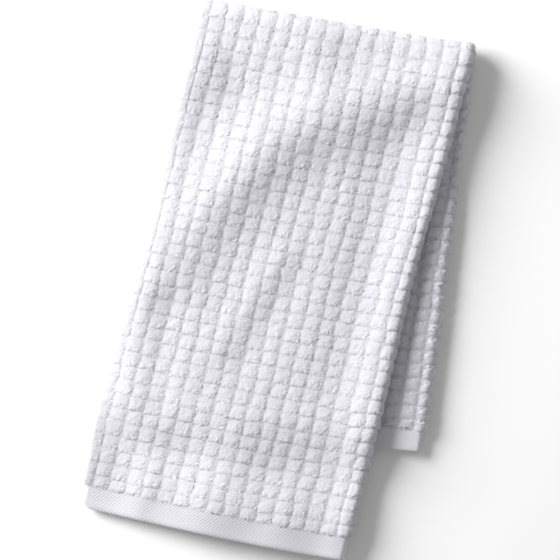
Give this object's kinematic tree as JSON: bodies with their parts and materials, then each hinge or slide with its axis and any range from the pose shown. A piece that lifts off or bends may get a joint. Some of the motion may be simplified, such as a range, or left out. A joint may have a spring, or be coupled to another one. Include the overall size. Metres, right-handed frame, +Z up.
{
  "type": "waffle hand towel",
  "caption": "Thick white terry hand towel with a block pattern, folded in half lengthwise and again crosswise, lying flat with its longer front flap on top.",
  "frame": {"origin": "centre of the folded towel's outline, on the surface that it lies on", "axes": "+Z up from the surface; +Y towards the fold across the towel, with the hems at -Y; +X towards the fold along its length"},
  "size_m": [0.2451, 0.402, 0.0286],
  "materials": {
    "towel": "white looped cotton terry, matt"
  },
  "bodies": {
    "root": {"towel": "towel"}
  },
  "joints": []
}
